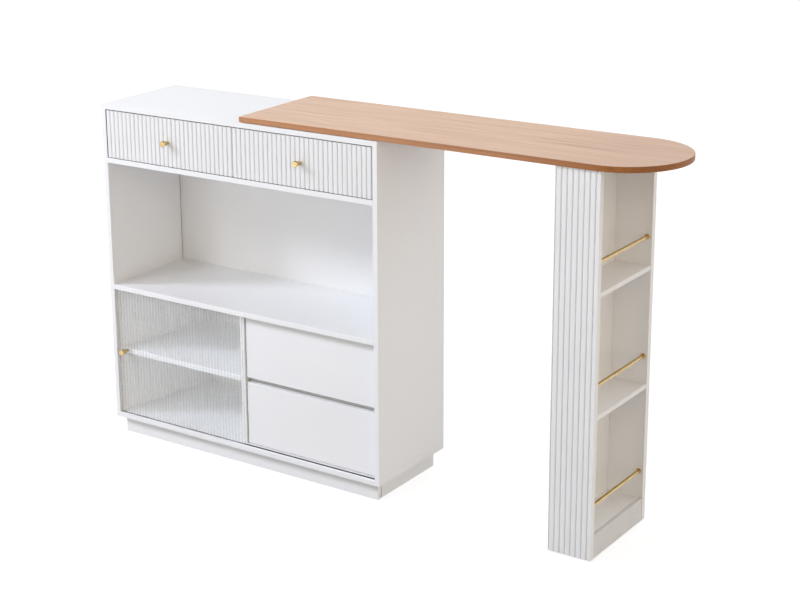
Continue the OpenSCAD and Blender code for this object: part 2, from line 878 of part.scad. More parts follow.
module column_shelves() {
    color(white) place() for (i = [1, 2])
        board_y([col_inner_x, col_inner_y, bay_floors[i] - shelf_t],
                [col_open - shelf_inset - col_inner_x, col_inner_d, shelf_t]);
}

module column_floor() {
    w = col_open - shelf_t - col_inner_x;
    color(white) place() board_y([col_inner_x, col_inner_y, fork_top], [w, col_inner_d, shelf_t]);
}

module kick_board() {
    color(white) place()
        board_y([col_open - shelf_t, col_inner_y, col_floor_gap],
                [shelf_t, col_inner_d - kick_gap, col_floor_z - col_floor_gap]);
}

// Steel angles that tie the column's panels to the table top
module column_brackets() {
    leg = [[0, 0], [bracket_h, 0], [bracket_h, -bracket_t], [bracket_t, -bracket_t],
           [bracket_t, -bracket_h], [0, -bracket_h]];
    color(steel) place()
        for (x = bracket_xs, far = [0, 1])
            translate([x, col_inner_y + far * col_inner_d, table_z]) mirror([0, far, 0])
                rotate([90, 0, 90]) linear_extrude(bracket_w) polygon(leg);
}

module guard_rails() {
    l = col_inner_d - 2 * socket_floor;
    color(brass) place()
        for (z = bay_floors) translate([rail_x, col_inner_y + socket_floor, z + rail_h])
            rotate([-90, 0, 0]) cylinder(d = rail_d, h = l);
}

module rail_sockets() {
    bore = rail_d / 2 + socket_play;
    cup = [[0, 0], [bore + socket_wall, 0], [bore + socket_wall, socket_l], [bore, socket_l],
           [bore, socket_floor], [0, socket_floor]];
    color(brass) place()
        for (z = bay_floors, far = [0, 1])
            translate([rail_x, col_inner_y + far * col_inner_d, z + rail_h]) mirror([0, far, 0])
                rotate([-90, 0, 0]) rotate_extrude() polygon(cup);
}

// The children at caster i, with X along its axle
module at_caster(i) {
    place() translate([caster_x, caster_ys[i], 0])
        rotate([0, 0, atan2(caster_ys[i] - pivot_y, caster_x - pivot_x)]) children();
}

// Turns the children's Z axis along an axle
module along_axle() {
    translate([0, 0, wheel_d / 2]) rotate([0, 90, 0]) children();
}

// Fork of one caster: a plate under the column's floor board and two ears
module fork() {
    difference() {
        union() {
            translate([-fork_plate_w / 2, -fork_plate_l / 2, fork_top - fork_t])
                cube([fork_plate_w, fork_plate_l, fork_t]);
            for (x = [-ear_x - fork_t, ear_x]) translate([x, 0, 0]) {
                translate([0, -ear_w / 2, wheel_d / 2]) cube([fork_t, ear_w, fork_top - wheel_d / 2]);
                along_axle() cylinder(d = ear_w, h = fork_t);
            }
        }
        along_axle() translate([0, 0, -axle_half - over])
            cylinder(d = axle_d + 2 * axle_play, h = 2 * (axle_half + over));
    }
}

module caster_forks() {
    color(steel) for (i = [0, 1]) at_caster(i) fork();
}

module caster_axles() {
    color(steel) for (i = [0, 1]) at_caster(i) along_axle() {
        translate([0, 0, -axle_half]) cylinder(d = axle_d, h = 2 * axle_half);
        for (z = [-axle_half - axle_head_t, axle_half])
            translate([0, 0, z]) cylinder(d = axle_head_d, h = axle_head_t);
    }
}

// Wheel with a chamfered tread, dished sides and a hub
module wheel() {
    half = wheel_w / 2;
    bore = axle_d / 2 + axle_play;
    hub = bore + hub_wall;
    rim = wheel_d / 2 - rim_w;
    along_axle() rotate_extrude() polygon([
        [bore, -half], [hub, -half], [hub, dish - half], [rim, dish - half], [rim, -half],
        [wheel_d / 2 - tread_c, -half], [wheel_d / 2, tread_c - half], [wheel_d / 2, half - tread_c],
        [wheel_d / 2 - tread_c, half], [rim, half], [rim, half - dish], [hub, half - dish],
        [hub, half], [bore, half]
    ]);
}

module near_wheel() { color(rubber) at_caster(0) wheel(); }
module far_wheel() { color(rubber) at_caster(1) wheel(); }

top_board();
bottom_board();
left_side();
right_side();
drawer_deck();
middle_board();
top_divider();
lower_divider();
inner_shelf();
back_panel();
plinth_front();
plinth_back();
plinth_ends();
lower_track();
upper_track();
shelf_supports();
cabinet_runners();
swivel_plate();
swivel_bush();
left_front();
left_box_sides();
left_box_back();
left_box_bottom();
left_runners();
left_knob();
right_front();
right_box_sides();
right_box_back();
right_box_bottom();
right_runners();
right_knob();
middle_front();
middle_box_sides();
middle_box_back();
middle_box_bottom();
middle_runners();
bottom_front();
bottom_box_sides();
bottom_box_back();
bottom_box_bottom();
bottom_runners();
door_glass();
door_knob();
table_top();
swivel_flange();
swivel_nut();
glide_pads();
near_panel();
far_panel();
column_back();
column_shelves();
column_floor();
kick_board();
column_brackets();
guard_rails();
rail_sockets();
caster_forks();
caster_axles();
near_wheel();
far_wheel();
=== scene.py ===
import math

import bpy
from mathutils import Matrix, Vector


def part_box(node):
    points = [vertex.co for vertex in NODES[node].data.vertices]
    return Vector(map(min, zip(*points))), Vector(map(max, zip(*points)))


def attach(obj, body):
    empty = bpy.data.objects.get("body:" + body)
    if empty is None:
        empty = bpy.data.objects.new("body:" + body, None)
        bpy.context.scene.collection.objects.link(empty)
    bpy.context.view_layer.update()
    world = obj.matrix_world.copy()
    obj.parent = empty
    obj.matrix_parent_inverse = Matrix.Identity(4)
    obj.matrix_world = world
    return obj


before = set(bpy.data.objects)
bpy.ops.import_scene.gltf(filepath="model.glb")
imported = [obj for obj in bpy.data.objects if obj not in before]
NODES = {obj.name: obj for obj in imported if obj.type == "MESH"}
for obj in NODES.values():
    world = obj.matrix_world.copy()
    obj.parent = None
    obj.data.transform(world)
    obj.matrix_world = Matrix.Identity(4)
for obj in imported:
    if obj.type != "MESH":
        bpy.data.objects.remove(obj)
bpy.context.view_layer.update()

MM = 0.001

# Camera: its place in the frame, and its aim in degrees
CAMERA_PLACE = Vector((2.51800, -3.76693, 1.98804))
CAMERA_AZIMUTH = 36.977
CAMERA_ELEVATION = 16.062
CAMERA_ROLL = -1.282
CAMERA_LENS = 79.14
CAMERA_SHIFT = (0.140, -0.070)

# Floor: its side in metres, its colour and roughness, and the glow that only the eye sees
FLOOR_SIZE = 30.0
FLOOR_COLOUR = (0.36, 0.36, 0.36, 1)
FLOOR_ROUGHNESS = 0.9
FLOOR_GLOW = 0.78

# Direction, colour and strength of each wide soft light of the world, and how fast it fades aside
SOFT_LIGHTS = (
    (Vector((0, 0, 1)), (0.97, 0.98, 1.0, 1), 0.142),
    (Vector((0, 1, 0.3)).normalized(), (0.974, 0.989, 1.0, 1), 1.97),
    (Vector((1, -0.3, -0.3)).normalized(), (1.19, 1.02, 0.83, 1), 1.64),
)
SOFT_LIGHT_FADE = 2.0
# Height of a seen direction where the white world starts and ends to dim, and its dimmest
DIM_FROM, DIM_TO, DIMMEST = 0.32, 0.54, 0.04
WHITE_WORLD = (1, 1, 1, 1)

# Place, size in metres, watts and colour of each lamp, and the point that they all aim at
LAMPS = {
    "key": (Vector((-8.4, -5.2, 5.9)), 2.4, 625.0, (0.991, 1.047, 1.2)),
    "upper_left": (Vector((-2.6, -3.6, 4.2)), 1.6, 70.0, (0.90, 0.95, 1.05)),
    "low_front": (Vector((-1.8, -4.2, 1.3)), 2.0, 37.0, (0.976, 0.978, 0.976)),
    "right_front": (Vector((2.6, -3.6, 3.4)), 1.6, 11.0, (1.016, 0.994, 0.905)),
}
LAMPS_AIM = Vector((0, 0, 0.5))

# Tones of the finishes, the darker or first one before the lighter or second one
WHITE_TONES = ((0.905, 0.905, 0.905, 1), (0.922, 0.922, 0.920, 1))
# Painted highlight along the lacquer's edges
WHITE_EDGE_HIGHLIGHT = (0.955, 0.955, 0.955, 1)
# Grey painted as shade in the gaps round the drawer fronts and in the back panel's grooves, and
# faintly over the fluted fronts
PAINTED_SHADE_GREY = (0.36, 0.35, 0.34, 1)
# Grey painted as shade on the rail behind the finger gap
RAIL_SHADE_GREY = (0.52, 0.51, 0.50, 1)
# Grey painted as shade over the kick board under the overhang
KICK_SHADE_GREY = (0.66, 0.65, 0.64, 1)
OAK_FACE_TONES = ((0.755, 0.492, 0.325, 1), (0.888, 0.621, 0.445, 1))
OAK_PORE = (0.46, 0.27, 0.15, 1)
OAK_LINE = (0.50, 0.285, 0.165, 1)
# Painted shade towards the table's tip, on its face
OAK_TIP_SHADE_FACE = (0.66, 0.40, 0.28, 1)
OAK_EDGE_TONES = ((0.375, 0.150, 0.052, 1), (0.525, 0.245, 0.100, 1))
# Painted shade towards the table's tip, on its edge
OAK_TIP_SHADE_EDGE_TONES = ((0.275, 0.085, 0.008, 1), (0.39, 0.14, 0.02, 1))
# Painted highlight along the oak's arrises
OAK_ARRIS_HIGHLIGHT = (0.86, 0.62, 0.43, 1)
BRASS_TONES = ((0.60, 0.425, 0.195, 1), (0.71, 0.52, 0.255, 1))
ZINC_TONES = ((0.60, 0.61, 0.63, 1), (0.72, 0.73, 0.74, 1))
BROWN_TONES = ((0.060, 0.045, 0.047, 1), (0.105, 0.082, 0.080, 1))
# Glass colour on the reeds' crests, then the painted shade between reeds
REED_SHADE_TONES = ((0.990, 0.993, 0.992, 1), (0.86, 0.87, 0.868, 1))
CLEAR_GLASS = (0.98, 0.99, 0.99, 1)
NYLON_TONES = ((0.62, 0.62, 0.60, 1), (0.74, 0.74, 0.71, 1))
TREAD_TONES = ((0.085, 0.085, 0.088, 1), (0.17, 0.165, 0.16, 1))

# Most values of a noise lie in this range
NOISE_SPREAD = (0.3, 0.7)
# Share of grey all over the fluted fronts, and from where to where the kick board's painted shade
# goes
FRONT_TONE = 0.09
KICK_SHADE_SPREAD = (0.66, 0.84)
# Where along X the table turns to the darker, richer tones that are painted shade at its tip
TIP_SHADE_SPREAD = (0.45, 0.70)
# Stretch on each axis, scale, detail, roughness and distortion of each noise of the oak
OAK_FIGURE = ((0.9, 11.0, 11.0), 1.6, 5.0, 0.55, 0.9)
OAK_STREAKS = ((1.5, 150.0, 150.0), 1.4, 3.0, 0.6, 0.2)
OAK_LINES = ((2.4, 230.0, 230.0), 1.0, 2.0, 0.5, 0.4)
OAK_PORES = ((9.0, 900.0, 900.0), 1.0, 2.0, 0.6, 0.0)
# Edges: the samples of a rounded normal, and its product with the flat one on a full edge
EDGE_SAMPLES = 4
EDGE_TURN = 0.75

# Board thickness, and the gap round the top drawers' fronts
BOARD = 15 * MM
FRONT_GAP = 2 * MM
# How far in front of the back panel the painted shade in its grooves starts
GROOVE_REACH = 2 * MM
# How far a zone of painted shade reaches past its faces, and how far it keeps off a board's
# arrises
PLAY = 0.1 * MM
FRONT_ARRIS = 0.4 * MM
BOARD_ARRIS = 0.5 * MM

# The door glass: number of reeds, the flat between two, and how far a reed stands up
REEDS = 41
REED_GAP = 0.4 * MM
REED_RISE = 1.1 * MM

# Fastener heads: radius, height and depth of the cross recess
PAN_HEAD = (3.8 * MM, 1.9 * MM, 1.2 * MM)
LOW_HEAD = (3.6 * MM, 1.2 * MM, 0.8 * MM)
PIN_HEAD = (2.6 * MM, 0.9 * MM, 0.0)
HEAD_SIDES = 24
# Share of a head's height that its rim's rounding takes, and the steps of that rounding
RIM_SHARE, RIM_STEPS = 0.7, 4
# Width and length of the cross recess as shares of the head's radius
CROSS_WIDTH, CROSS_LENGTH = 0.26, 1.15
SMOOTH_ANGLE = math.radians(30)
DOWN = (0, 0, -1)

# Sheet thickness of the angle brackets and of the casters' plates
SHEET = 2 * MM
# The flange's screws out from the spindle, and the plate's screws in from its edges
FLANGE_SCREWS_OUT = 45 * MM
PLATE_SCREWS_INSET = 15 * MM
# Half a bracket's width, and its screws from the wall and from the bracket's middle
BRACKET_HALF = 15 * MM
BRACKET_SCREWS_ALONG, BRACKET_SCREWS_ASIDE = 16 * MM, 8 * MM
# A caster's screws from the plate's middle, along and across the line to the swivel
CASTER_SCREWS_ALONG, CASTER_SCREWS_ASIDE = 16 * MM, 21 * MM
# The runners' screws out from the drawer's half and in from its ends
RUNNER_SCREWS_OUT, RUNNER_SCREWS_INSET = 7.7 * MM, 30 * MM
# Number of pins along each level board and up each divider
PINS_ALONG = {"drawer_deck": 7, "middle_board": 7}
PINS_UP = {"top_divider": 1, "lower_divider": 3}


def corners(node):
    """A node's lowest and highest corners as vectors."""
    low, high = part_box(node)
    return Vector(low), Vector(high)


def put(tree, socket, value):
    """Links a socket to a value that comes from a node, or else sets it."""
    if isinstance(value, bpy.types.NodeSocket):
        tree.links.new(value, socket)
    else:
        socket.default_value = value


def add(tree, kind, settings=None, inputs=None):
    """A new node of a kind, with its settings, and its inputs set or linked by name or number."""
    node = tree.nodes.new("ShaderNode" + kind)
    for name, value in (settings or {}).items():
        setattr(node, name, value)
    for name, value in (inputs or {}).items():
        put(tree, node.inputs[name], value)
    return node


def calculate(tree, operation, first, second=0.0):
    """The result of one step of arithmetic."""
    return add(tree, "Math", {"operation": operation}, {0: first, 1: second}).outputs[0]


def product(tree, *factors):
    """The product of some values."""
    result = factors[0]
    for factor in factors[1:]:
        result = calculate(tree, "MULTIPLY", result, factor)
    return result


def within(tree, value, low, high):
    """1 where a value lies from low to high, and 0 elsewhere."""
    inputs = {0: value, 1: (low + high) / 2, 2: (high - low) / 2}
    return add(tree, "Math", {"operation": "COMPARE"}, inputs).outputs[0]


def between(tree, value, low, high, start, end):
    """The value, moved from the range start to end into the range low to high."""
    inputs = {"Value": value, "From Min": start, "From Max": end, "To Min": low, "To Max": high}
    return add(tree, "MapRange", None, inputs).outputs[0]


def axes(tree, vector):
    """The three parts of a vector."""
    return add(tree, "SeparateXYZ", None, {0: vector}).outputs


def object_place(tree):
    """Object coordinates."""
    return add(tree, "TexCoord").outputs["Object"]


def flat_normal(tree):
    """The normal of the surface before any bump."""
    return add(tree, "NewGeometry").outputs["Normal"]


def stretched(tree, scale=(1, 1, 1)):
    """Object coordinates stretched by a scale on each axis."""
    inputs = {"Vector": object_place(tree), "Scale": scale}
    return add(tree, "Mapping", None, inputs).outputs[0]


def noise(tree, vector, scale, detail, roughness=0.5, distortion=0.0):
    """Strength of a noise from 0 to 1."""
    inputs = {"Vector": vector, "Scale": scale, "Detail": detail, "Roughness": roughness,
              "Distortion": distortion}
    return add(tree, "TexNoise", None, inputs).outputs[0]


def blend(tree, share, first, second):
    """A mix of two colours."""
    return add(tree, "Mix", {"data_type": "RGBA"}, {0: share, 6: first, 7: second}).outputs[2]


def bump(tree, height, depth, strength):
    """A normal raised by a height, whose full height is depth in metres."""
    inputs = {"Height": height, "Distance": depth, "Strength": strength}
    return add(tree, "Bump", None, inputs).outputs[0]


def edge_mask(tree, radius, share):
    """A share along the edges of a piece, and 0 on its faces, where a rounded normal is flat."""
    rounded = add(tree, "Bevel", {"samples": EDGE_SAMPLES}, {"Radius": radius}).outputs[0]
    normals = {0: rounded, 1: flat_normal(tree)}
    turn = add(tree, "VectorMath", {"operation": "DOT_PRODUCT"}, normals).outputs["Value"]
    return calculate(tree, "MULTIPLY", between(tree, turn, 1.0, 0.0, EDGE_TURN, 1.0), share)


def finish(name):
    """A new material, its nodes and its shader."""
    material = bpy.data.materials.new(name)
    material.use_nodes = True
    tree = material.node_tree
    return material, tree, tree.nodes["Principled BSDF"]


def drive(tree, shader, inputs):
    """Sets or links the shader's inputs."""
    for name, value in inputs.items():
        put(tree, shader.inputs[name], value)


def painted_gap_shade(tree):
    """1 on the faces in the gaps round the top drawers' fronts, where shade is painted, and 0
    elsewhere.
    """
    x, y, z = axes(tree, object_place(tree))
    low, high = corners("left_front")[0], corners("right_front")[1]
    reach = FRONT_GAP + PLAY
    opening = product(tree, within(tree, x, low.x - reach, high.x + reach),
                      within(tree, z, low.z - reach, high.z + reach))
    fronts = product(tree, within(tree, x, low.x + PLAY, high.x - PLAY),
                     within(tree, z, low.z + PLAY, high.z - PLAY))
    return product(tree, calculate(tree, "SUBTRACT", opening, fronts),
                   within(tree, y, low.y + FRONT_ARRIS, high.y))


def painted_groove_shade(tree):
    """1 inside the grooves that the sides have for the back panel, where shade is painted, and 0
    elsewhere.
    """
    x, y, z = axes(tree, object_place(tree))
    left_low, left_high = corners("left_side")
    right_low, right_high = corners("right_side")
    back = corners("back_panel")[0].y
    inside = calculate(tree, "ADD",
                       within(tree, x, left_low.x + BOARD_ARRIS, left_high.x - PLAY),
                       within(tree, x, right_low.x + PLAY, right_high.x - BOARD_ARRIS))
    return product(tree, inside,
                   within(tree, y, back - GROOVE_REACH, left_high.y - BOARD_ARRIS),
                   within(tree, z, left_low.z + PLAY, left_high.z - PLAY))


def painted_gap_and_groove_shade(tree):
    """1 where shade is painted in the gaps and grooves, and 0 elsewhere."""
    return calculate(tree, "MAXIMUM", painted_gap_shade(tree), painted_groove_shade(tree))


def fluted_front_shade_and_tone(tree):
    """1 where shade is painted on a fluted front's edges in the gaps, and a faint grey share all
    over it.
    """
    return calculate(tree, "MAXIMUM", painted_gap_and_groove_shade(tree), FRONT_TONE)


def painted_rail_shade(tree):
    """1 on the rail behind the finger gap, where shade is painted, and 0 on the divider board."""
    edge = corners("lower_divider")[0].x + BOARD + PLAY / 2
    return calculate(tree, "GREATER_THAN", axes(tree, object_place(tree))[0], edge)


def painted_kick_shade(tree):
    """Painted shade all over a board, stronger and fainter from place to place."""
    # Patches of painted shade
    rubs = noise(tree, stretched(tree, (6.0, 6.0, 14.0)), scale=3.0, detail=4.0, roughness=0.6)
    return between(tree, rubs, *KICK_SHADE_SPREAD, *NOISE_SPREAD)


def white_lacquer(name, painted_shade_places, painted_shade_colour):
    """Satin white lacquer: faint clouds, fine orange peel, a painted highlight along the edges,
    and painted shade where a mask puts it.
    """
    material, tree, shader = finish(name)
    place = stretched(tree)
    clouds = noise(tree, place, scale=5.0, detail=3.0)
    peel = noise(tree, place, scale=900.0, detail=1.0)
    colour = blend(tree, between(tree, clouds, 0.0, 1.0, *NOISE_SPREAD), *WHITE_TONES)
    # Painted highlight along the edges
    colour = blend(tree, edge_mask(tree, 1.2 * MM, 0.7), colour, WHITE_EDGE_HIGHLIGHT)
    drive(tree, shader, {
        # Painted shade: the grey goes where the mask is 1
        "Base Color": blend(tree, painted_shade_places(tree), colour, painted_shade_colour),
        "Roughness": between(tree, clouds, 0.30, 0.40, *NOISE_SPREAD),
        "Normal": bump(tree, peel, 0.02 * MM, 0.5),
        "Coat Weight": 0.12,
        "Coat Roughness": 0.18,
    })
    return material


def oak_top():
    """Oak veneer with its grain along X, a darker solid edge, painted shade that makes face and
    edge darker and richer towards the tip, and a painted highlight along the arrises.
    """
    material, tree, shader = finish("oak_top")
    figure, streaks, lines, pores = (
        noise(tree, stretched(tree, stretch), *rest)
        for stretch, *rest in (OAK_FIGURE, OAK_STREAKS, OAK_LINES, OAK_PORES))
    dark_pores = between(tree, pores, 1.0, 0.0, 0.30, 0.44)
    dark_lines = product(tree, between(tree, lines, 1.0, 0.0, 0.36, 0.45),
                         between(tree, figure, 0.15, 0.75, 0.42, 0.58))
    grain = calculate(tree, "ADD", calculate(tree, "MULTIPLY", figure, 0.45),
                      calculate(tree, "MULTIPLY", streaks, 0.55))
    tone = between(tree, grain, 0.0, 1.0, 0.40, 0.60)
    # Painted shade, growing towards the tip
    tip = between(tree, axes(tree, object_place(tree))[0], 0.0, 1.0, *TIP_SHADE_SPREAD)
    face = blend(tree, tone, *OAK_FACE_TONES)
    face = blend(tree, calculate(tree, "MULTIPLY", dark_pores, 0.5), face, OAK_PORE)
    face = blend(tree, dark_lines, face, OAK_LINE)
    face = blend(tree, calculate(tree, "MULTIPLY", tip, 0.35), face, OAK_TIP_SHADE_FACE)
    edge = blend(tree, tip, blend(tree, tone, *OAK_EDGE_TONES),
                 blend(tree, tone, *OAK_TIP_SHADE_EDGE_TONES))
    up = calculate(tree, "ABSOLUTE", axes(tree, flat_normal(tree))[2])
    colour = blend(tree, between(tree, up, 0.0, 1.0, 0.80, 0.95), edge, face)
    drive(tree, shader, {
        # Painted highlight along the arrises
        "Base Color": blend(tree, edge_mask(tree, 1.5 * MM, 0.3), colour, OAK_ARRIS_HIGHLIGHT),
        "Roughness": between(tree, streaks, 0.42, 0.56, *NOISE_SPREAD),
        "Normal": bump(tree, calculate(tree, "SUBTRACT", streaks, dark_pores), 0.05 * MM, 0.6),
        "Coat Weight": 0.08,
        "Coat Roughness": 0.3,
    })
    return material


def turned_brass():
    """Satin brass with fine turning marks round the Y axis."""
    material, tree, shader = finish("turned_brass")
    marks = noise(tree, stretched(tree, (30.0, 2600.0, 30.0)), scale=1.0, detail=2.0)
    stains = noise(tree, stretched(tree), scale=60.0, detail=3.0)
    drive(tree, shader, {
        "Base Color": blend(tree, between(tree, stains, 0.0, 1.0, 0.35, 0.65), *BRASS_TONES),
        "Metallic": 1.0,
        "Roughness": between(tree, marks, 0.07, 0.15, *NOISE_SPREAD),
        "Normal": bump(tree, marks, 0.01 * MM, 0.35),
    })
    return material


def zinc_steel():
    """Zinc-plated steel sheet with a faint spangle."""
    material, tree, shader = finish("zinc_steel")
    place = stretched(tree)
    cells = add(tree, "TexVoronoi", None, {"Vector": place, "Scale": 140.0})
    spangle = cells.outputs["Distance"]
    stains = noise(tree, place, scale=25.0, detail=4.0)
    drive(tree, shader, {
        "Base Color": blend(tree, between(tree, spangle, 0.0, 1.0, 0.0, 0.8), *ZINC_TONES),
        "Metallic": 1.0,
        "Roughness": between(tree, stains, 0.28, 0.44, *NOISE_SPREAD),
        "Normal": bump(tree, spangle, 0.01 * MM, 0.3),
    })
    return material


def brown_plastic():
    """Satin brown plastic of the door's tracks, rubbed along X."""
    material, tree, shader = finish("brown_plastic")
    rubs = noise(tree, stretched(tree, (3.0, 700.0, 700.0)), scale=1.0, detail=3.0)
    drive(tree, shader, {
        "Base Color": blend(tree, between(tree, rubs, 0.0, 1.0, *NOISE_SPREAD), *BROWN_TONES),
        "Roughness": between(tree, rubs, 0.45, 0.62, *NOISE_SPREAD),
        "Specular IOR Level": 0.3,
        "Normal": bump(tree, rubs, 0.02 * MM, 0.4),
    })
    return material


def reed_lean(tree):
    """How far the pane's front leans to the side at each place, and the most that it leans."""
    low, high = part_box("door_glass")
    pitch = (high[0] - low[0]) / REEDS
    half = (pitch - REED_GAP) / 2
    radius = (half * half + REED_RISE * REED_RISE) / (2 * REED_RISE)
    across = calculate(tree, "SUBTRACT", axes(tree, object_place(tree))[0], low[0])
    share = calculate(tree, "FRACT", calculate(tree, "DIVIDE", across, pitch))
    off_middle = calculate(tree, "SUBTRACT", share, 0.5)
    return calculate(tree, "MULTIPLY", off_middle, pitch / radius), pitch / radius / 2


def reed_normal(tree, lean):
    """The smooth turn of the reeds on the pane's front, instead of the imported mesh's strips."""
    squared = calculate(tree, "MULTIPLY", lean, lean)
    ahead = calculate(tree, "SQRT", calculate(tree, "SUBTRACT", 1.0, squared))
    turned = {0: lean, 1: calculate(tree, "MULTIPLY", ahead, -1.0)}
    smooth = add(tree, "CombineXYZ", None, turned).outputs[0]
    flat = flat_normal(tree)
    front = calculate(tree, "LESS_THAN", axes(tree, flat)[1], -0.85)
    return add(tree, "Mix", {"data_type": "VECTOR"}, {0: front, 4: flat, 5: smooth}).outputs[1]


def reeded_glass():
    """Clear reeded glass, with painted shade between its reeds, that lets the lamps' light
    through.
    """
    material, tree, shader = finish("reeded_glass")
    haze = noise(tree, stretched(tree, (3.0, 3.0, 1.0)), scale=8.0, detail=3.0)
    lean, most = reed_lean(tree)
    # Painted shade in the valleys between reeds
    valley_shade = between(tree, calculate(tree, "ABSOLUTE", lean), 0.0, 1.0, 0.4 * most, most)
    drive(tree, shader, {
        "Base Color": blend(tree, valley_shade, *REED_SHADE_TONES),
        "Transmission Weight": 0.88,
        "IOR": 1.5,
        "Roughness": between(tree, haze, 0.02, 0.05, *NOISE_SPREAD),
        "Normal": reed_normal(tree, lean),
    })
    path = add(tree, "LightPath").outputs
    passing = calculate(tree, "MAXIMUM", path["Is Shadow Ray"], path["Is Diffuse Ray"])
    clear = add(tree, "BsdfTransparent", None, {"Color": CLEAR_GLASS})
    mix = add(tree, "MixShader", None, {0: passing, 1: shader.outputs[0], 2: clear.outputs[0]})
    put(tree, tree.nodes["Material Output"].inputs["Surface"], mix.outputs[0])
    return material


def pale_nylon():
    """Milky nylon, slightly mottled."""
    material, tree, shader = finish("pale_nylon")
    mottle = noise(tree, stretched(tree), scale=120.0, detail=3.0)
    drive(tree, shader, {
        "Base Color": blend(tree, mottle, *NYLON_TONES),
        "Roughness": between(tree, mottle, 0.42, 0.55, *NOISE_SPREAD),
        "Normal": bump(tree, mottle, 0.03 * MM, 0.4),
    })
    return material


def grey_tread():
    """Grey rubber of the caster wheels, dusty on its tread."""
    material, tree, shader = finish("grey_tread")
    grit = noise(tree, stretched(tree), scale=700.0, detail=2.0)
    dust = noise(tree, stretched(tree), scale=90.0, detail=3.0)
    drive(tree, shader, {
        "Base Color": blend(tree, between(tree, dust, 0.0, 1.0, 0.35, 0.7), *TREAD_TONES),
        "Roughness": between(tree, dust, 0.55, 0.75, *NOISE_SPREAD),
        "Normal": bump(tree, grit, 0.05 * MM, 0.5),
    })
    return material


def paint_nodes(slot_finishes, own_finishes):
    """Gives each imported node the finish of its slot, or its own variant of it."""
    for name, node in NODES.items():
        slot = node.data.materials[0].name
        node.data.materials[0] = own_finishes.get(name, slot_finishes[slot])


def add_camera():
    """The camera at the photograph's place and aim."""
    data = bpy.data.cameras.new("camera")
    data.lens = CAMERA_LENS
    data.shift_x, data.shift_y = CAMERA_SHIFT
    camera = bpy.data.objects.new("camera", data)
    bpy.context.scene.collection.objects.link(camera)
    aim = (Matrix.Rotation(math.radians(CAMERA_AZIMUTH), 4, "Z")
           @ Matrix.Rotation(math.radians(90 - CAMERA_ELEVATION), 4, "X")
           @ Matrix.Rotation(math.radians(CAMERA_ROLL), 4, "Z"))
    camera.matrix_world = Matrix.Translation(CAMERA_PLACE) @ aim
    bpy.context.scene.camera = camera


def seen_directly(tree):
    """1 for what the camera, a gloss or clear glass sees, and 0 for what lights the object."""
    path = add(tree, "LightPath").outputs
    seen = calculate(tree, "MAXIMUM", path["Is Camera Ray"], path["Is Glossy Ray"])
    seen = calculate(tree, "MAXIMUM", seen, path["Is Transmission Ray"])
    unscattered = calculate(tree, "LESS_THAN", path["Diffuse Depth"], 0.5)
    return calculate(tree, "MULTIPLY", seen, unscattered)


def glow_from(tree, direction, colour, strength):
    """Light of the world that is strongest from one side and fades to nothing across it."""
    around = add(tree, "TexCoord").outputs["Generated"]
    toward = add(tree, "VectorMath", {"operation": "DOT_PRODUCT"}, {0: around, 1: direction})
    facing = calculate(tree, "MAXIMUM", toward.outputs["Value"], 0.0)
    fade = calculate(tree, "POWER", facing, SOFT_LIGHT_FADE)
    strength = calculate(tree, "MULTIPLY", fade, strength)
    return add(tree, "Background", None, {"Color": colour, "Strength": strength}).outputs[0]


def add_world():
    """Soft light from a few sides; to the eye white, and dim overhead, where gloss shows it."""
    world = bpy.data.worlds.new("studio")
    bpy.context.scene.world = world
    world.use_nodes = True
    tree = world.node_tree
    tree.nodes.clear()
    light = glow_from(tree, *SOFT_LIGHTS[0])
    for side in SOFT_LIGHTS[1:]:
        light = add(tree, "AddShader", None, {0: light, 1: glow_from(tree, *side)}).outputs[0]
    height = axes(tree, add(tree, "TexCoord").outputs["Generated"])[2]
    whiteness = between(tree, height, 1.0, DIMMEST, DIM_FROM, DIM_TO)
    white = add(tree, "Background", None, {"Color": WHITE_WORLD, "Strength": whiteness})
    mix = add(tree, "MixShader", None, {0: seen_directly(tree), 1: light, 2: white.outputs[0]})
    add(tree, "OutputWorld", None, {"Surface": mix.outputs[0]})


def add_floor():
    """A pale floor that looks white to the eye and keeps the object's soft shadow."""
    bpy.ops.object.select_all(action="DESELECT")
    bpy.ops.mesh.primitive_plane_add(size=FLOOR_SIZE)
    floor = bpy.context.object
    floor.name = "floor"
    material, tree, shader = finish("floor_white")
    drive(tree, shader, {
        "Base Color": FLOOR_COLOUR,
        "Roughness": FLOOR_ROUGHNESS,
        "Specular IOR Level": 0.0,
    })
    strength = calculate(tree, "MULTIPLY", seen_directly(tree), FLOOR_GLOW)
    glow = add(tree, "Emission", None, {"Strength": strength})
    both = add(tree, "AddShader", None, {0: shader.outputs[0], 1: glow.outputs[0]})
    put(tree, tree.nodes["Material Output"].inputs["Surface"], both.outputs[0])
    floor.data.materials.append(material)


def add_lamps():
    """Soft lamps: the key from far at the upper left, and three fills nearer to the front."""
    for name, (place, size, power, colour) in LAMPS.items():
        data = bpy.data.lights.new(name, "AREA")
        data.size = size
        data.energy = power
        data.color = colour
        lamp = bpy.data.objects.new(name, data)
        bpy.context.scene.collection.objects.link(lamp)
        toward = (LAMPS_AIM - place).to_track_quat("-Z", "Y")
        lamp.matrix_world = Matrix.Translation(place) @ toward.to_matrix().to_4x4()


def cross_cutter(radius, depth, top):
    """Two bars across each other, to cut a screw's recess from its top."""
    bpy.ops.object.select_all(action="DESELECT")
    bars = []
    for long_axis in (0, 1):
        bpy.ops.mesh.primitive_cube_add(size=1)
        bar = bpy.context.object
        size = [CROSS_WIDTH * radius, CROSS_WIDTH * radius, 2 * depth]
        size[long_axis] = CROSS_LENGTH * radius
        bar.scale = size
        bar.location = (0, 0, top)
        bars.append(bar)
    for bar in bars:
        bar.select_set(True)
    bpy.ops.object.transform_apply(location=True, rotation=True, scale=True)
    return bars


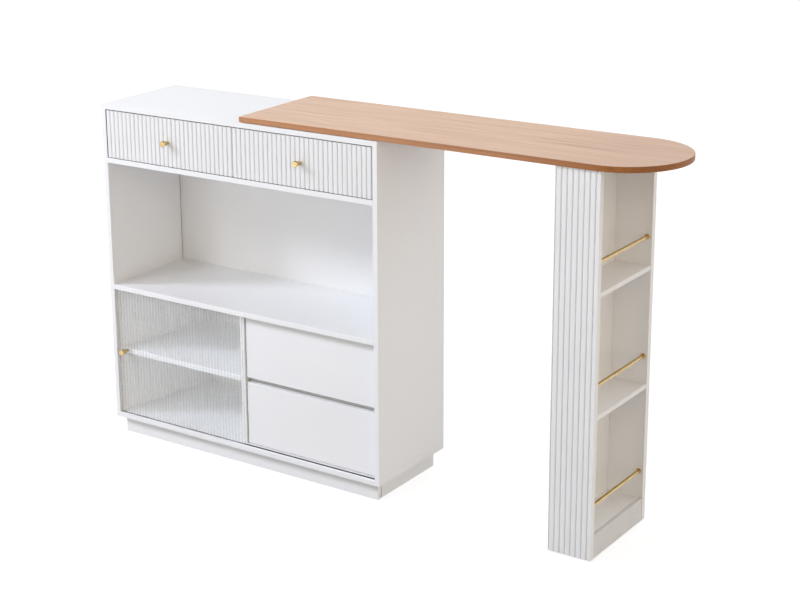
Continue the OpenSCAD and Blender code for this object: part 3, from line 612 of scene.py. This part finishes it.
def fastener_head(kind, metal):
    """A round head that stands on the origin, with a rounded rim and its recess, if any."""
    radius, height, recess = kind
    bpy.ops.object.select_all(action="DESELECT")
    bpy.ops.mesh.primitive_cylinder_add(vertices=HEAD_SIDES, radius=radius, depth=height,
                                        location=(0, 0, height / 2))
    head = bpy.context.object
    bpy.ops.object.transform_apply(location=True, rotation=True, scale=True)
    for face in head.data.polygons:
        face.select = face.normal.z > 0.5
    for edge in head.data.edges:
        edge.select = False
    for vertex in head.data.vertices:
        vertex.select = vertex.co.z > height / 2
    bpy.ops.object.mode_set(mode="EDIT")
    bpy.ops.mesh.select_mode(type="FACE")
    bpy.ops.mesh.bevel(offset=RIM_SHARE * height, segments=RIM_STEPS, affect="EDGES")
    bpy.ops.object.mode_set(mode="OBJECT")
    if recess:
        for bar in cross_cutter(radius, recess, height):
            cut = head.modifiers.new("recess", "BOOLEAN")
            cut.operation = "DIFFERENCE"
            cut.solver = "EXACT"
            cut.object = bar
            bpy.context.view_layer.objects.active = head
            bpy.ops.object.modifier_apply(modifier=cut.name)
            bpy.data.objects.remove(bar)
    head.data.materials.append(metal)
    return head


def fasten(name, body, head, places):
    """One piece of fastener heads: a copy of the head, with its own mesh, at each place."""
    bpy.ops.object.select_all(action="DESELECT")
    for place, facing in places:
        copy = head.copy()
        copy.data = head.data.copy()
        bpy.context.scene.collection.objects.link(copy)
        turn = Vector(facing).to_track_quat("Z", "Y").to_matrix().to_4x4()
        copy.matrix_world = Matrix.Translation(place) @ turn
        copy.select_set(True)
        bpy.context.view_layer.objects.active = copy
    bpy.ops.object.transform_apply(location=True, rotation=True, scale=True)
    bpy.ops.object.join()
    piece = bpy.context.object
    piece.name = name
    bpy.ops.object.shade_smooth_by_angle(angle=SMOOTH_ANGLE)
    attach(piece, body)


def middle(node):
    """The middle of a node's box."""
    low, high = corners(node)
    return (low + high) / 2


def flange_places():
    """Four screws under the table's flange, round the spindle."""
    centre = middle("swivel_flange")
    seat = corners("table_top")[0].z
    for quarter in range(4):
        angle = math.radians(45 + 90 * quarter)
        out = FLANGE_SCREWS_OUT * Vector((math.cos(angle), math.sin(angle), 0))
        yield Vector((centre.x, centre.y, seat)) + out, DOWN


def plate_places():
    """A screw in each corner of the swivel's plate under the cabinet's top."""
    low, high = corners("swivel_plate")
    for x in (low.x + PLATE_SCREWS_INSET, high.x - PLATE_SCREWS_INSET):
        for y in (low.y + PLATE_SCREWS_INSET, high.y - PLATE_SCREWS_INSET):
            yield Vector((x, y, low.z)), DOWN


def bracket_places():
    """Two screws in each leg of the angle brackets that hold the column under the table."""
    low, high = corners("column_brackets")
    for bracket in (low.x + BRACKET_HALF, high.x - BRACKET_HALF):
        for x in (bracket - BRACKET_SCREWS_ASIDE, bracket + BRACKET_SCREWS_ASIDE):
            for wall, inward in ((low.y, 1), (high.y, -1)):
                yield Vector((x, wall + inward * BRACKET_SCREWS_ALONG, high.z - SHEET)), DOWN
                yield (Vector((x, wall + inward * SHEET, high.z - BRACKET_SCREWS_ALONG)),
                       (0, inward, 0))


def caster_places():
    """Four screws in each caster's plate, which is turned about the swivel."""
    pivot = middle("swivel_flange")
    seat = corners("caster_forks")[1].z - SHEET
    for wheel in ("near_wheel", "far_wheel"):
        centre = middle(wheel)
        turn = Matrix.Rotation(math.atan2(centre.y - pivot.y, centre.x - pivot.x), 3, "Z")
        for x in (-CASTER_SCREWS_ALONG, CASTER_SCREWS_ALONG):
            for y in (-CASTER_SCREWS_ASIDE, CASTER_SCREWS_ASIDE):
                yield Vector((centre.x, centre.y, seat)) + turn @ Vector((x, y, 0)), DOWN


def runner_places():
    """Two screws in the cabinet's half of each drawer runner."""
    for drawer in ("left", "right", "middle", "bottom"):
        low, high = corners(drawer + "_runners")
        height = (low.z + high.z) / 2
        for y in (low.y + RUNNER_SCREWS_INSET, high.y - RUNNER_SCREWS_INSET):
            yield Vector((low.x - RUNNER_SCREWS_OUT, y, height)), (1, 0, 0)
            yield Vector((high.x + RUNNER_SCREWS_OUT, y, height)), (-1, 0, 0)


def pin_places():
    """Pins through the back panel into the deck, the middle board and the dividers."""
    back = corners("back_panel")[1].y
    for board, count in PINS_ALONG.items():
        low, high = corners(board)
        for step in range(count):
            x = low.x + (high.x - low.x) * (step + 0.5) / count
            yield Vector((x, back, (low.z + high.z) / 2)), (0, 1, 0)
    x = corners("top_divider")[0].x + BOARD / 2
    for board, count in PINS_UP.items():
        low, high = corners(board)
        for step in range(count):
            z = low.z + (high.z - low.z) * (step + 0.5) / count
            yield Vector((x, back, z)), (0, 1, 0)


def add_fasteners(metal):
    """Screw and pin heads, each set on the part that it holds."""
    pan = fastener_head(PAN_HEAD, metal)
    low = fastener_head(LOW_HEAD, metal)
    pin = fastener_head(PIN_HEAD, metal)
    fasten("flange_screws", "table", low, flange_places())
    fasten("plate_screws", "cabinet", pan, plate_places())
    fasten("bracket_screws", "table", pan, bracket_places())
    fasten("caster_screws", "table", pan, caster_places())
    fasten("runner_screws", "cabinet", pan, runner_places())
    fasten("back_pins", "cabinet", pin, pin_places())
    for head in (pan, low, pin):
        bpy.data.objects.remove(head)


bpy.context.scene.view_settings.view_transform = "Standard"
add_camera()
add_world()
add_floor()
add_lamps()
finishes = {
    "white_board": white_lacquer("white_lacquer", painted_gap_and_groove_shade, PAINTED_SHADE_GREY),
    "oak": oak_top(),
    "brass": turned_brass(),
    "steel": zinc_steel(),
    "track": brown_plastic(),
    "glass": reeded_glass(),
    "nylon": pale_nylon(),
    "wheel": grey_tread(),
}
fluted = white_lacquer("white_lacquer_fluted", fluted_front_shade_and_tone, PAINTED_SHADE_GREY)
paint_nodes(finishes, {
    "left_front": fluted,
    "right_front": fluted,
    # The rail behind the finger gap gets painted shade
    "lower_divider": white_lacquer("white_lacquer_rail_shade", painted_rail_shade, RAIL_SHADE_GREY),
    # The kick board gets painted shade
    "kick_board": white_lacquer("white_lacquer_kick_shade", painted_kick_shade, KICK_SHADE_GREY),
})
add_fasteners(finishes["steel"])
